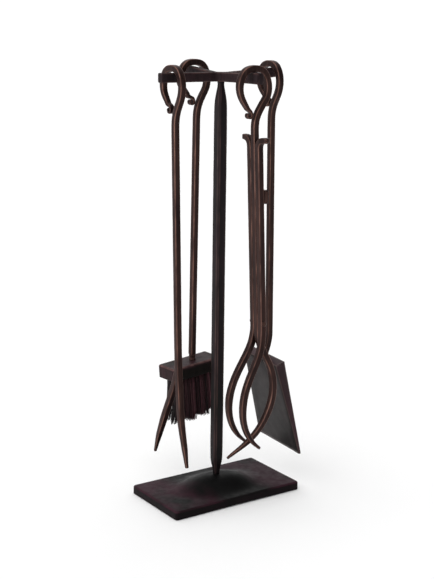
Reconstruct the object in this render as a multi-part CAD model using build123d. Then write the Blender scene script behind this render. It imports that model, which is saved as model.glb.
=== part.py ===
"""Fireplace tool set: four forged tools hanging from a cross-armed stand. Millimetres, +Z up.

The origin is the middle of the base's underside. +X runs along the base's long side and -Y is the front.
"""

import math
import os

from build123d import *

os.makedirs("parts", exist_ok=True)

# Stand
BASE_LONG = 241.0
BASE_SHORT = 136.5
BASE_THICK = 14.0
DOME_RISE = 17.2
DOME_REACH = 58.0
DOME_STRETCH = 1.55
POST_FLAT = 6.5
POST_SIDE = 17.4
POST_CHAMFER = 3.0
POST_FOOT = BASE_THICK + DOME_RISE
POST_TOP = 670.0
POST_LEAN = 2.9
BOLT_DIAMETER = 6.0
BOLT_HEAD_ACROSS = 10.0
BOLT_HEAD_TALL = 4.0
BOLT_GRIP = 22.0
WASHER_DIAMETER = 18.0
WASHER_THICK = 1.6
RECESS_DEPTH = 8.0

# Hanger arms
ARM_THICK = 12.5
ARM_TALL = 14.6
ARM_ROUND = 2.2
CAP_STEP = 1.2
ARM_BEND = ARM_THICK / 2 / (math.sqrt(2) - 1) + 0.05
# Each arm: how far it reaches, how much its tip is turned up, and how tall its end is
POKER_ARM = (107.0, 0.1, 15.0)
BRUSH_ARM = (96.0, 7.4, 15.6)
TONGS_ARM = (107.0, 1.3, 17.0)
SHOVEL_ARM = (107.0, 5.2, 15.6)

# Tool bars
BAR = 10.0
BAR_ROUND = 1.8
LOOP_RISE = BAR / 2 + 0.2
LOOP_NECK = 90.0
LOOP_INNER_RADIUS = 21.0
SCROLL_CURL = 3.9
HANG_GAP = 0.35

# Each LOOP is the loop's half width, how far its free end is drawn up, and how far it is tucked in

# Poker
POKER_OUT = 85.5
POKER_LEAN = 1.35
POKER_SIDE = 1.2
POKER_STEP = 6.0
POKER_LOOP = (26.3, 4.5, 1.0)

# Brush
BRUSH_OUT = 75.0
BRUSH_LEAN = -1.05
BRUSH_SIDE = 1.4
BRUSH_STEP = 7.4
BRUSH_LOOP = (27.1, 4.6, 3.5)
BRUSH_TURN = 5.0
BLOCK_LONG = 100.0
BLOCK_DEEP = 45.0
BLOCK_TALL = 22.0
BLOCK_TILT = 4.0
BLOCK_MIDDLE = (-3.6, 196.6)
FERRULE_DIAMETER = 11.0
FERRULE_TALL = 9.5
TENON_DIAMETER = 6.0
TENON_LONG = 12.0
TUFT_ROWS = 4
TUFT_COLUMNS = 10
TUFT_PITCH = 8.3
TUFT_LONG = 76.0
TUFT_SPLAY = 7.0

# Tongs
TONGS_OUT = 90.0
TONGS_LEAN = 2.24
TONGS_LOOP = (25.8, -1.0, 0.2)
LEVER_PITCH = BAR + 0.4
FRONT_FINGER_TOP = 588.5
BACK_FINGER_TOP = 591.0
FRONT_FINGER_REACH = 19.5
BACK_FINGER_REACH = 16.0
PIVOT_HEIGHT = 306.0
PIVOT_DIAMETER = 5.0
PIVOT_FIT = 0.05
PIVOT_HEAD = 8.6
PIVOT_HEAD_TALL = 2.6
TIE_LOW = 492.0
TIE_HIGH = 513.0
TIE_THICK = 8.0
TIE_RELIEF = 0.4

# Shovel
SHOVEL_OUT = 95.0
SHOVEL_LEAN = 0.6
SHOVEL_SIDE = 1.5
SHOVEL_STEP = 5.0
SHOVEL_LOOP = (26.0, 4.9, 4.5)
PAN_SHEET = 1.6
PAN_REAR_WIDE = 92.0
PAN_LIP_WIDE = 118.0
PAN_LONG = 167.0
PAN_REAR_DEEP = 17.5
PAN_LIP_DEEP = 3.2
PAN_TILT = 17.3
PAN_ROLL = 3.4
PAN_CORNER = (80.0, -6.0, 218.3)
PAN_BEND = 4.0


def write(shape, name):
    export_step(shape, f"parts/{name}.step")


def standing(diameter, tall):
    """A round bar standing on the current plane."""
    return Cylinder(diameter / 2, tall, align=(Align.CENTER, Align.CENTER, Align.MIN))


def chamfered_square(side, cut):
    """A square section with its corners cut off, in the current plane's own axes."""
    half = side / 2
    inner = half - cut
    corners = [
        (half, -inner), (half, inner), (inner, half), (-inner, half),
        (-half, inner), (-half, -inner), (-inner, -half), (inner, -half),
    ]
    return make_face(Polyline(*corners, close=True))


def section(point, along, across, wide, tall, rounding):
    """A rounded bar section at a point, its width lying as near as it can to 'across'."""
    plane = Plane(origin=point, x_dir=flattened(across, along), z_dir=along)
    return plane * RectangleRounded(wide, tall, rounding)


def flattened(vector, normal):
    """The part of a vector that is square to a normal."""
    unit = Vector(*normal).normalized()
    free = Vector(*vector)
    return free - unit * free.dot(unit)


def bent_bar(points, sizes, across, stations, start=None, end=None):
    """A bar lofted along a smooth line, with its size given at even steps of length."""
    ends = None if start is None else (start, end)
    line = Spline(*points) if ends is None else Spline(*points, tangents=ends)
    faces = []
    for i in range(stations):
        share = i / (stations - 1)
        wide, tall = blended(sizes, share)
        rounding = min(BAR_ROUND, 0.3 * min(wide, tall))
        faces.append(section(line @ share, line % share, across, wide, tall, rounding))
    return loft(faces)


def blended(sizes, share):
    """Size at a share of the length, straight between the sizes listed."""
    for (at_low, low), (at_high, high) in zip(sizes, sizes[1:]):
        if share <= at_high:
            part = (share - at_low) / (at_high - at_low)
            return tuple(a + (b - a) * part for a, b in zip(low, high))
    return sizes[-1][1]


def straight_bar(low, high, across, side=BAR):
    """A straight rounded bar between two points."""
    along = Vector(*high) - Vector(*low)
    start = section(low, along.normalized(), across, side, side, BAR_ROUND)
    return extrude(start, amount=along.length, dir=along.normalized())


# ---------------------------------------------------------------- stand


def dome_height(radius):
    """The base's top swells up to the post's foot in one smooth wave."""
    share = (radius - POST_FLAT) / (DOME_REACH - POST_FLAT)
    return BASE_THICK + DOME_RISE * math.cos(share * math.pi / 2) ** 2


def base_plate():
    plate = Box(BASE_LONG, BASE_SHORT, BASE_THICK, align=(Align.CENTER, Align.CENTER, Align.MIN))
    plate = fillet(plate.edges().filter_by(Axis.Z), 5)
    plate = fillet(plate.edges().group_by(Axis.Z)[-1], 3)
    plate = fillet(plate.edges().group_by(Axis.Z)[0], 1.2)
    swell = [(radius, dome_height(radius)) for radius in (POST_FLAT, 12, 20, 28, 36, 44, 51, DOME_REACH)]
    crown = Spline(*swell, tangents=((1, 0), (1, 0)))
    top, low = POST_FOOT, 5
    under = Polyline((DOME_REACH, BASE_THICK), (DOME_REACH, low), (0, low), (0, top), (POST_FLAT, top))
    dome = revolve(Plane.XZ * make_face([crown, under]), Axis.Z)
    dome = scale(dome, by=(DOME_STRETCH, 1, 1))
    recess = standing(26, RECESS_DEPTH)
    hole = standing(BOLT_DIAMETER + 0.5, 60)
    return plate + dome - recess - hole


def post_shift(height):
    """The post leans a little toward +X above the bolt."""
    share = max(0.0, height - 64) / (POST_TOP - 64)
    return POST_LEAN * share


def post():
    foot = [(POST_FOOT, 8.6, 1.2), (41, 11.0, 1.7), (50, 14.2, 2.3), (56, 16.2, 2.8), (64, 16.9, 3.0)]
    long_run = [(z, POST_SIDE, POST_CHAMFER) for z in (110, 570)] + [(612, 17.3, 3.0), (630, 17.2, 3.0)]
    neck = [(640, 16.5, 3.0), (649, 14.4, 2.8), (657, 11.6, 2.4), (662, 9.7, 2.0), (666, 8.9, 1.6)]
    levels = foot + long_run + neck + [(POST_TOP, 9.8, 1.8)]
    faces = [Pos(post_shift(z), 0, z) * chamfered_square(side, cut) for z, side, cut in levels]
    body = loft(faces, ruled=True)
    hole = Pos(0, 0, POST_FOOT) * Cylinder(BOLT_DIAMETER / 2, 2 * BOLT_GRIP)
    return body - hole


def base_washer():
    ring = Circle(WASHER_DIAMETER / 2) - Circle(BOLT_DIAMETER / 2 + 0.3)
    return extrude(Plane.XY.offset(RECESS_DEPTH - WASHER_THICK) * ring, WASHER_THICK)


def base_bolt():
    under = RECESS_DEPTH - WASHER_THICK
    hexagon = RegularPolygon(BOLT_HEAD_ACROSS / 2, 6, major_radius=False)
    head = extrude(Plane.XY.offset(under) * hexagon, -BOLT_HEAD_TALL)
    head = chamfer(head.edges().group_by(Axis.Z)[0], 0.6)
    shank = standing(BOLT_DIAMETER, POST_FOOT - under + BOLT_GRIP - 2)
    return head + Pos(0, 0, under) * shank


def arm_share(reach, arm):
    """How far out along an arm a distance from the post is, 0 at the bend and 1 at the tip."""
    far = arm[0]
    return max(0.0, (min(reach, far) - ARM_BEND) / (far - ARM_BEND))


def arm_rise(reach, arm):
    """Height of an arm's middle line at a distance out from the post."""
    return POST_TOP + ARM_TALL / 2 + arm[1] * arm_share(reach, arm)


def arm_tall(reach, arm):
    return ARM_TALL + (arm[2] - ARM_TALL) * arm_share(reach, arm) ** 2


def arm_top(reach, arm):
    return arm_rise(reach, arm) + arm_tall(reach, arm) / 2


def arm_section(x, y, along, arm, shrink=0.0):
    """The arm's own section at a spot in plan, 'shrink' smaller all round."""
    reach = math.hypot(x, y)
    place = (x, y, arm_rise(reach, arm))
    tall = arm_tall(reach, arm) - 2 * shrink
    return section(place, along, (0, 0, 1), tall, ARM_THICK - 2 * shrink, ARM_ROUND)


def arm_cap(way, arm):
    """The bevelled last step of an arm, from full size out to its end face."""
    near, end = arm[0] - CAP_STEP, arm[0]
    full = arm_section(way[0] * near, way[1] * near, way, arm)
    last = arm_section(way[0] * end, way[1] * end, way, arm, CAP_STEP)
    return loft([full, last], ruled=True)


def arm_run(way, arm):
    """The long run of an arm from the bend out to its bevel, along a level direction."""
    far = arm[0] - CAP_STEP
    steps = [ARM_BEND + i * (far - ARM_BEND) / 5 for i in range(6)]
    return loft([arm_section(way[0] * step, way[1] * step, way, arm) for step in steps])


def hanger_bar(arm_x, arm_y):
    """One bent bar: an arm along -X, a bend in front of the post, and an arm along -Y."""
    corners = []
    for i in range(9):
        turn = math.radians(90 * i / 8)
        across_x = -ARM_BEND + ARM_BEND * math.sin(turn)
        across_y = -ARM_BEND + ARM_BEND * math.cos(turn)
        corners.append(arm_section(across_x, across_y, (math.cos(turn), -math.sin(turn), 0), arm_x))
    bar = loft(corners)
    for way, arm in (((-1, 0, 0), arm_x), ((0, -1, 0), arm_y)):
        bar = bar + arm_run(way, arm) + arm_cap(way, arm)
    return bar


# ---------------------------------------------------------------- loops


def tail_drop(w, tail):
    """Height on the loop's free side, drawn up by 'tail' millimetres at its scroll."""
    return -9.5 + (w + 9.5) * (1 - tail / 52)


def loop_outline(step, shape):
    """Middle line of a handle loop, from the shaft's top round to where the scroll starts."""
    wide, tail, tuck = shape
    return [
        (step, -LOOP_NECK), (step * 0.9 + 2.0, -70), (step * 0.6 + 8.4, -57), (step * 0.3 + 17.6, -44.5),
        (wide - 2.2, -35), (wide, -22), (wide - 2.6, -9.5), (wide - 10.5, 1.2), (0, LOOP_RISE),
        (-wide + 10.5, 1.2), (-wide + 2.6, -9.5), (-wide, tail_drop(-21, tail)),
        (-wide + 1.9 + 0.15 * tuck, tail_drop(-33, tail)), (-19.6 + 0.45 * tuck, tail_drop(-42, tail)),
        (-14.2 + 0.75 * tuck, tail_drop(-50.5, tail)),
    ]


def scroll_line(step, shape):
    """Middle line of the scroll: down from the loop's end and round the eye."""
    wide, tail, tuck = shape
    eye_u = -10.2 + 0.4 * step + tuck
    eye_w = tail_drop(-61.6, tail)
    points = [loop_outline(step, shape)[-1], (eye_u + 1.5, eye_w + 5.6)]
    for degrees in (8, -30, -70, -110, -150, -190, -222):
        angle = math.radians(degrees)
        points.append((eye_u + SCROLL_CURL * math.cos(angle), eye_w + SCROLL_CURL * math.sin(angle)))
    return points


def handle_loop(to_place, across, step, shape):
    """A forged loop, its end drawn down and curled into a small eye beside the shaft."""
    points = [to_place(u, w) for u, w in loop_outline(step, shape)]
    rise = to_place(0, 1) - to_place(0, 0)
    leave = to_place(0.5, -0.86) - to_place(0, 0)
    full = (BAR, BAR)
    sizes = [(0.0, full), (0.80, full), (0.92, (9.4, 8.4)), (1.0, (8.8, 7.0))]
    body = bent_bar(points, sizes, across, 34, rise, leave)
    away = to_place(-0.66, 0.75) - to_place(0, 0)
    neck = [to_place(u, w) for u, w in scroll_line(step, shape)]
    thin = [(0.0, (8.8, 7.0)), (0.22, (8.6, 5.2)), (0.5, (8.4, 3.8)), (1.0, (8.0, 2.8))]
    scroll = bent_bar(neck, thin, across, 16, leave, away)
    return body + scroll


def hung(hang_point, lean, side_axis):
    """Placer for a tool's own flat frame: u to the shaft's side, w up, leaning about the hang point."""
    tilt = math.radians(lean)
    side = Vector(*side_axis)

    def to_place(u, w):
        out = u * math.cos(tilt) - w * math.sin(tilt)
        up = w * math.cos(tilt) + u * math.sin(tilt)
        return Vector(*hang_point) + side * out + Vector(0, 0, up)

    return to_place


def height_to_w(to_place, u, height):
    """How far down its own shaft a tool reaches a given height."""
    top = to_place(u, 0)
    drop = to_place(u, 0) - to_place(u, -1)
    return -(top.Z - height) / drop.Z


def turned_x(degrees):
    """The X direction turned about Z."""
    angle = math.radians(degrees)
    return (math.cos(angle), math.sin(angle), 0)


def hang_height(reach, arm, side, lean):
    """Height of a loop's inner top, so that the loop just clears the arm's upper corners."""
    corner = abs(side) + ARM_THICK / 2 - 0.5 * ARM_ROUND
    tip = corner * math.sin(math.radians(abs(lean)))
    return arm_top(reach, arm) + corner ** 2 / (2 * LOOP_INNER_RADIUS) + tip + HANG_GAP


def hung_poker():
    height = hang_height(POKER_OUT, POKER_ARM, POKER_SIDE, POKER_LEAN)
    return hung((-POKER_OUT, -POKER_SIDE, height), POKER_LEAN, (0, -1, 0))


def hung_brush():
    height = hang_height(BRUSH_OUT, BRUSH_ARM, BRUSH_SIDE, BRUSH_LEAN)
    return hung((BRUSH_SIDE, BRUSH_OUT, height), BRUSH_LEAN, turned_x(BRUSH_TURN))


def hung_tongs():
    height = hang_height(TONGS_OUT, TONGS_ARM, 0, TONGS_LEAN)
    return hung((0, -TONGS_OUT, height), TONGS_LEAN, (1, 0, 0))


def hung_shovel():
    height = hang_height(SHOVEL_OUT, SHOVEL_ARM, SHOVEL_SIDE, SHOVEL_LEAN)
    return hung((SHOVEL_OUT, -SHOVEL_SIDE, height), SHOVEL_LEAN, (0, -1, 0))


POKER_AT = hung_poker()
BRUSH_AT = hung_brush()
TONGS_AT = hung_tongs()
SHOVEL_AT = hung_shovel()


def shaft(to_place, step, low, across):
    bottom = to_place(step, height_to_w(to_place, step, low))
    return straight_bar(bottom, to_place(step, -LOOP_NECK), across)


def down(to_place):
    return to_place(0, -1) - to_place(0, 0)


# ---------------------------------------------------------------- poker


def poker_rod():
    across = (1, 0, 0)
    low = 270.0
    start = POKER_AT(POKER_STEP, height_to_w(POKER_AT, POKER_STEP, low))
    rod = handle_loop(POKER_AT, across, POKER_STEP, POKER_LOOP) + shaft(POKER_AT, POKER_STEP, low, across)
    trail = [(0, 0), (-1.9, -42), (-4.6, -80), (-10.0, -128), (-17.6, -159), (-22.4, -178), (-26.6, -196.5)]
    points = [start + Vector(0, y, z) for y, z in trail]
    sizes = [(0.0, (BAR, BAR)), (0.62, (BAR, BAR)), (0.86, (8.2, 8.2)), (1.0, (5.2, 5.2))]
    tine = bent_bar(points, sizes, across, 14, down(POKER_AT), (0, -0.24, -0.97))
    return rod + tine


def poker_prong():
    across = (1, 0, 0)
    start = POKER_AT(POKER_STEP, height_to_w(POKER_AT, POKER_STEP, 232.0))
    trail = [(0, 0), (4.6, -18), (17, -46), (36.4, -83), (48.0, -107), (60, -133), (70.5, -160)]
    points = [start + Vector(0, y, z) for y, z in trail]
    sizes = [(0.0, (BAR, BAR)), (0.62, (BAR, BAR)), (0.82, (8.6, 7.8)), (1.0, (4.4, 4.4))]
    prong = bent_bar(points, sizes, across, 14, (0, 0.1, -1), (0, 0.36, -0.93))
    return prong - poker_rod()


# ---------------------------------------------------------------- brush


def block_frame():
    middle = (BLOCK_MIDDLE[0], BRUSH_OUT, BLOCK_MIDDLE[1])
    return Pos(*middle) * Rot(0, 0, BRUSH_TURN) * Rot(0, -BLOCK_TILT, 0)


def brush_foot():
    """Where the shaft's middle line meets the ferrule's top, and the block's top below it."""
    top = BLOCK_MIDDLE[1] + BLOCK_TALL / 2 + FERRULE_TALL + 0.6
    return BRUSH_AT(BRUSH_STEP, height_to_w(BRUSH_AT, BRUSH_STEP, top))


def upright(diameter, high, low):
    """A round bar square to the block, from 'high' above the shaft's foot down to 'low' below it."""
    foot = brush_foot()
    seat = Pos(foot.X, foot.Y, foot.Z) * Rot(0, 0, BRUSH_TURN) * Rot(0, -BLOCK_TILT, 0)
    return seat * Pos(0, 0, -low) * standing(diameter, high + low)


def brush_shaft():
    return straight_bar(brush_foot(), BRUSH_AT(BRUSH_STEP, -LOOP_NECK), turned_x(BRUSH_TURN + 90))


def brush_tenon():
    return upright(TENON_DIAMETER, 1.0, FERRULE_TALL + TENON_LONG)


def brush_rod():
    loop = handle_loop(BRUSH_AT, turned_x(BRUSH_TURN + 90), BRUSH_STEP, BRUSH_LOOP)
    return loop + brush_shaft() + brush_tenon()


def brush_ferrule():
    sleeve = upright(FERRULE_DIAMETER, 0.0, FERRULE_TALL + 4)
    return sleeve - brush_tenon() - whole_block() - brush_shaft()


def whole_block():
    block = Box(BLOCK_LONG, BLOCK_DEEP, BLOCK_TALL)
    block = fillet(block.edges().filter_by(Axis.Z), 4)
    block = fillet(block.edges().group_by(Axis.Z)[-1], 3)
    block = fillet(block.edges().group_by(Axis.Z)[0], 1)
    return block_frame() * block


def brush_block():
    return whole_block() - brush_tenon()


def brush_bristles():
    """Rows of tufts that spread until they meet, trimmed a little unevenly."""
    bundle = None
    root = TUFT_PITCH - 1.8
    tip = TUFT_PITCH + 0.5
    for row in range(TUFT_ROWS):
        for column in range(TUFT_COLUMNS):
            x = (column - (TUFT_COLUMNS - 1) / 2) * TUFT_PITCH
            y = (row - (TUFT_ROWS - 1) / 2) * TUFT_PITCH
            ragged = 3.4 * math.sin(2.1 * column + 1.7 * row) - 0.35 * abs(column - 3.0) ** 1.6
            length = TUFT_LONG + ragged
            top = Plane.XY.offset(-BLOCK_TALL / 2) * Pos(x, y) * Rectangle(root, root)
            splay = TUFT_SPLAY * max(0.0, 1 - column / 2.5)
            end = Plane.XY.offset(-BLOCK_TALL / 2 - length) * Pos(x * 1.02 - splay, y * 1.02)
            low = end * Rectangle(tip + (3.0 if splay else 0.0), tip)
            tuft = loft([top, low], ruled=True)
            bundle = tuft if bundle is None else bundle + tuft
    return block_frame() * bundle


# ---------------------------------------------------------------- tongs


def tongs_line(height, sideways=0.0):
    """A point on the tongs' straight part at a height, 'sideways' out along Y."""
    spot = TONGS_AT(0, height_to_w(TONGS_AT, 0, height))
    return spot + Vector(0, sideways, 0)


def pivot_place():
    return tongs_line(PIVOT_HEIGHT)


def cross_hole(radius, long=80):
    spot = pivot_place()
    return Location((spot.X, spot.Y, spot.Z), (90, 0, 0)) * Cylinder(radius, long)


def tongs_rod():
    across = (0, 1, 0)
    low = 288.0
    rod = handle_loop(TONGS_AT, across, 0.0, TONGS_LOOP) + shaft(TONGS_AT, 0.0, low, across)
    start = tongs_line(low)
    trail = [
        (0, 0), (3.6, -16), (11.0, -33), (23.5, -57), (30.2, -83),
        (29.0, -108), (20.4, -132), (3.4, -157), (-24.0, -178), (-55.0, -193.5),
    ]
    points = [start + Vector(x, 0, z) for x, z in trail]
    sizes = [(0.0, (BAR, BAR)), (0.55, (BAR, BAR)), (0.80, (8.2, 8.0)), (1.0, (4.0, 4.0))]
    claw = bent_bar(points, sizes, across, 22, down(TONGS_AT), (-0.88, 0, -0.48))
    return rod + claw - cross_hole(PIVOT_DIAMETER / 2 + PIVOT_FIT)


def tongs_lever(way, finger_top, finger_reach):
    """A side lever with a finger rest above and a claw below. 'way' is -1 in front, +1 behind."""
    across = (0, 1, 0)
    out = way * LEVER_PITCH
    low = 300.0
    high = finger_top - 16
    bar = straight_bar(tongs_line(low, out), tongs_line(high, out), across)
    bend = tongs_line(high, out)
    rest_trail = [(0, 0, 0), (-0.3, 0.6, 7), (-0.5, 4.4, 13.2), (-0.6, 10.5, 15.8)]
    rest_trail.append((-0.6, finger_reach, 16.2))
    rest_points = [bend + Vector(x, way * y, z) for x, y, z in rest_trail]
    rest_sizes = [(0.0, (BAR, BAR)), (0.6, (BAR, 9.2)), (1.0, (9.0, 8.2))]
    start_up = tongs_line(high + 1) - tongs_line(high)
    rest = bent_bar(rest_points, rest_sizes, (1, 0, 0), 10, start_up, (0, way, 0))
    foot = tongs_line(low, out)
    claw_trail = [
        (0, 0, 0), (-0.6, 0.6, -14), (-4.0, 2.6, -32), (-13.6, 5.0, -53),
        (-26.5, 6.6, -76), (-36.4, 7.8, -100), (-40.4, 8.6, -124), (-38.0, 8.8, -148),
        (-29.8, 8.8, -168), (-16.4, 9.0, -185), (-8.6, 9.0, -192),
    ]
    claw_points = [foot + Vector(x, way * y, z) for x, y, z in claw_trail]
    claw_sizes = [(0.0, (BAR, BAR)), (0.6, (BAR, BAR)), (0.84, (8.2, 8.0)), (1.0, (5.6, 4.6))]
    claw = bent_bar(claw_points, claw_sizes, across, 22, down(TONGS_AT), (0.72, 0, -0.69))
    return bar + rest + claw - cross_hole(PIVOT_DIAMETER / 2)


def tongs_pivot():
    spot = pivot_place()
    reach = LEVER_PITCH + BAR / 2
    pin = cross_hole(PIVOT_DIAMETER / 2, 2 * reach + 1)
    for way in (-1, 1):
        seat = Location((spot.X, spot.Y + way * reach, spot.Z), (-90 * way, 0, 0))
        head = standing(PIVOT_HEAD, PIVOT_HEAD_TALL)
        head = fillet(head.edges().group_by(Axis.Z)[-1], 2.0)
        pin = pin + seat * head
    return pin


def tongs_tie():
    """The plate welded across both levers' backs, relieved where the middle rod rests beside it."""
    middle = (TIE_LOW + TIE_HIGH) / 2
    spot = tongs_line(middle)
    wide = 2 * LEVER_PITCH + BAR
    plate = Box(TIE_THICK, wide, TIE_HIGH - TIE_LOW, align=(Align.MIN, Align.CENTER, Align.CENTER))
    plate = fillet(plate.edges().filter_by(Axis.Y), 2.4)
    relief = Box(TIE_RELIEF, BAR + 1.2, 60, align=(Align.MIN, Align.CENTER, Align.CENTER))
    return Location((spot.X, spot.Y, spot.Z), (0, -TONGS_LEAN, 0)) * Pos(BAR / 2, 0, 0) * (plate - relief)


# ---------------------------------------------------------------- shovel


def shovel_rod():
    across = (1, 0, 0)
    low = 262.0
    rod = handle_loop(SHOVEL_AT, across, SHOVEL_STEP, SHOVEL_LOOP)
    rod = rod + shaft(SHOVEL_AT, SHOVEL_STEP, low, across)
    start = SHOVEL_AT(SHOVEL_STEP, height_to_w(SHOVEL_AT, SHOVEL_STEP, low))
    trail = [(0, 0, 0), (-0.5, 0.4, -12), (-2.8, 1.6, -26), (-6.6, 3.4, -41.5)]
    points = [start + Vector(*step) for step in trail]
    sizes = [(0.0, (BAR, BAR)), (1.0, (9.0, 8.6))]
    foot = bent_bar(points, sizes, across, 8, down(SHOVEL_AT), (-0.26, 0.12, -0.96))
    return rod + foot - pan_block(0.0)


def pan_frame():
    return Location(PAN_CORNER, (PAN_ROLL, 0, 0)) * Location((0, 0, 0), (0, -PAN_TILT, 0))


def pan_block(sheet):
    """The pan's outside as a solid wedge, or with a sheet thickness the hollow inside it."""
    over = 20.0 if sheet else 0.0
    flare = (PAN_LIP_WIDE - PAN_REAR_WIDE) / 2 / PAN_LONG
    fall = (PAN_REAR_DEEP - PAN_LIP_DEEP) / PAN_LONG
    faces = []
    for drop in (sheet, PAN_LONG + over):
        half = PAN_REAR_WIDE / 2 + flare * drop - sheet
        deep = PAN_REAR_DEEP - fall * drop + over
        plane = Plane(origin=(0, 0, -drop), x_dir=(1, 0, 0), z_dir=(0, 0, -1))
        outline = Polyline((sheet, -half), (deep, -half), (deep, half), (sheet, half), close=True)
        faces.append(plane * make_face(outline))
    block = loft(faces, ruled=True)
    floor_edges = [
        edge for edge in block.edges()
        if edge.center().X < sheet + 0.5 and (abs(edge.center().Y) > 20 or edge.center().Z > -sheet - 1)
    ]
    return pan_frame() * fillet(floor_edges, PAN_BEND - sheet)


def shovel_pan():
    return pan_block(0.0) - pan_block(PAN_SHEET)


# ---------------------------------------------------------------- output


def main():
    write(base_plate(), "base_plate")
    write(base_washer(), "base_washer")
    write(base_bolt(), "base_bolt")
    write(post(), "post")
    write(hanger_bar(POKER_ARM, TONGS_ARM), "hanger_bar_front")
    write(Rot(0, 0, 180) * hanger_bar(SHOVEL_ARM, BRUSH_ARM), "hanger_bar_back")
    write(poker_rod(), "poker_rod")
    write(poker_prong(), "poker_prong")
    write(brush_rod(), "brush_rod")
    write(brush_ferrule(), "brush_ferrule")
    write(brush_block(), "brush_block")
    write(brush_bristles(), "brush_bristles")
    write(tongs_rod(), "tongs_rod")
    write(tongs_lever(-1, FRONT_FINGER_TOP, FRONT_FINGER_REACH), "tongs_lever_front")
    write(tongs_lever(1, BACK_FINGER_TOP, BACK_FINGER_REACH), "tongs_lever_back")
    write(tongs_pivot(), "tongs_pivot")
    write(tongs_tie(), "tongs_tie")
    write(shovel_rod(), "shovel_rod")
    write(shovel_pan(), "shovel_pan")


main()
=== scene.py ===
"""Looks of the fireplace tool set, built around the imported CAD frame.

Shapes are worked out in millimetres, in the CAD's own frame, and turned to metres when a mesh is made.
"""

import math
import random

import bmesh
import bpy
import numpy as np
from mathutils import Matrix, Vector, noise


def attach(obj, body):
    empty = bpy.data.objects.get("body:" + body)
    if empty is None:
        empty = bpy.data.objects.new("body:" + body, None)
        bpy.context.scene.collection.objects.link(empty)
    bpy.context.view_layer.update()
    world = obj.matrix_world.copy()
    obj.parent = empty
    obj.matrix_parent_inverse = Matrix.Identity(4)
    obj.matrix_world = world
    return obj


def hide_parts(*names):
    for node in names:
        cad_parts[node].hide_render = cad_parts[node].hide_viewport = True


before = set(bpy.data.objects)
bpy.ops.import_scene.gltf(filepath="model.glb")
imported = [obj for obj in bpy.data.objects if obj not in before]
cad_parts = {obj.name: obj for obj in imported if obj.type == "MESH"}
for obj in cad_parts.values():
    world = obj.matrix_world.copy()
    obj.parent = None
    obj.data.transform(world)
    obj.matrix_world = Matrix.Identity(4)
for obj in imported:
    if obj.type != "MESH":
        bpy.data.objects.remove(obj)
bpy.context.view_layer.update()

MM = 0.001

# Stand
BASE_LONG = 241.0
BASE_SHORT = 136.5
BASE_THICK = 14.0
DOME_RISE = 17.2
DOME_REACH = 58.0
DOME_STRETCH = 1.55
POST_FLAT = 6.5
POST_FOOT = BASE_THICK + DOME_RISE
POST_TOP = 670.0
POST_LEAN = 2.9
BASE_CORNER = 5.0
BASE_EDGE = 3.0
RECESS_RADIUS = 13.0
RECESS_DEPTH = 8.0
HOLE_RADIUS = 3.25
HOLE_TOP = 18.0
# Painted reflection on the top of the base, laid on as purple-brown patches: its start out from the middle,
# the reach over which it grows, and its slant
SHEEN_START = 34.0
SHEEN_REACH = 32.0
SHEEN_SLANT = 0.25
SHEEN_LEAST = 0.15

# Hanger arms
ARM_THICK = 12.5
ARM_TALL = 14.6
ARM_ROUND = 2.2
ARM_BEND = ARM_THICK / 2 / (math.sqrt(2) - 1) + 0.05
# Each arm: how far it reaches, how much its tip is turned up, and how tall its end is
POKER_ARM = (107.0, 0.1, 15.0)
BRUSH_ARM = (96.0, 7.4, 15.6)
TONGS_ARM = (107.0, 1.3, 17.0)
SHOVEL_ARM = (107.0, 5.2, 15.6)

# Tool bars
BAR = 10.0
BAR_ROUND = 1.8
FULL = (BAR, BAR)
LOOP_RISE = BAR / 2 + 0.2
LOOP_NECK = 90.0
LOOP_INNER_RADIUS = 21.0
SCROLL_CURL = 3.9
HANG_GAP = 0.35
POKER_FOOT = 270.0
PRONG_START = 232.0
SHOVEL_FOOT = 262.0

# Each tool: distance out along its arm, the arm, lean in degrees, sideways offset and shaft offset.
# A loop is its half width, how far its free end is drawn up, and how far it is tucked in.
POKER = {"out": 85.5, "arm": POKER_ARM, "lean": 1.35, "side": 1.2, "step": 6.0, "loop": (26.3, 4.5, 1.0)}
BRUSH = {"out": 75.0, "arm": BRUSH_ARM, "lean": -1.05, "side": 1.4, "step": 7.4, "loop": (27.1, 4.6, 3.5)}
TONGS = {"out": 90.0, "arm": TONGS_ARM, "lean": 2.24, "side": 0.0, "step": 0.0, "loop": (25.8, -1.0, 0.2)}
SHOVEL = {"out": 95.0, "arm": SHOVEL_ARM, "lean": 0.6, "side": 1.5, "step": 5.0, "loop": (26.0, 4.9, 4.5)}

# Brush head
BRUSH_TURN = 5.0
BLOCK_LONG = 100.0
BLOCK_DEEP = 45.0
BLOCK_TALL = 22.0
BLOCK_TILT = 4.0
BLOCK_CORNER = 4.0
BLOCK_EDGE = 3.0
BLOCK_MIDDLE = (-3.6, 75.0, 196.6)
FERRULE_DIAMETER = 11.0
FERRULE_TALL = 9.5
TUFT_ROWS = 4
TUFT_COLUMNS = 10
TUFT_PITCH = 8.3
TUFT_STAGGER = 1.6
TUFT_LONG = 76.0
TUFT_ROOT = 3.4
TUFT_TIP = 4.8
TUFT_FAN = 1.02
# The first tufts lean outward, with wider tips and more bowed hairs
TUFT_SPLAY = 7.0
SPLAYED_TIP = 5.6
SPLAYED_BOW = 4.5
HAIRS_IN_TUFT = 34
HAIR_LEVELS = 5
HAIR_SIDES = 4
HAIR_SEED = 11

# Tongs
LEVER_PITCH = BAR + 0.4
PIVOT_HEIGHT = 306.0
PIVOT_HOLE = 5.1
PIVOT_RADIUS = 2.5
LEVER_FOOT = 300.0
TONGS_FOOT = 288.0
TIE_HEIGHT = 502.5
TIE_SIZE = (7.9, 21.0)

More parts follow.
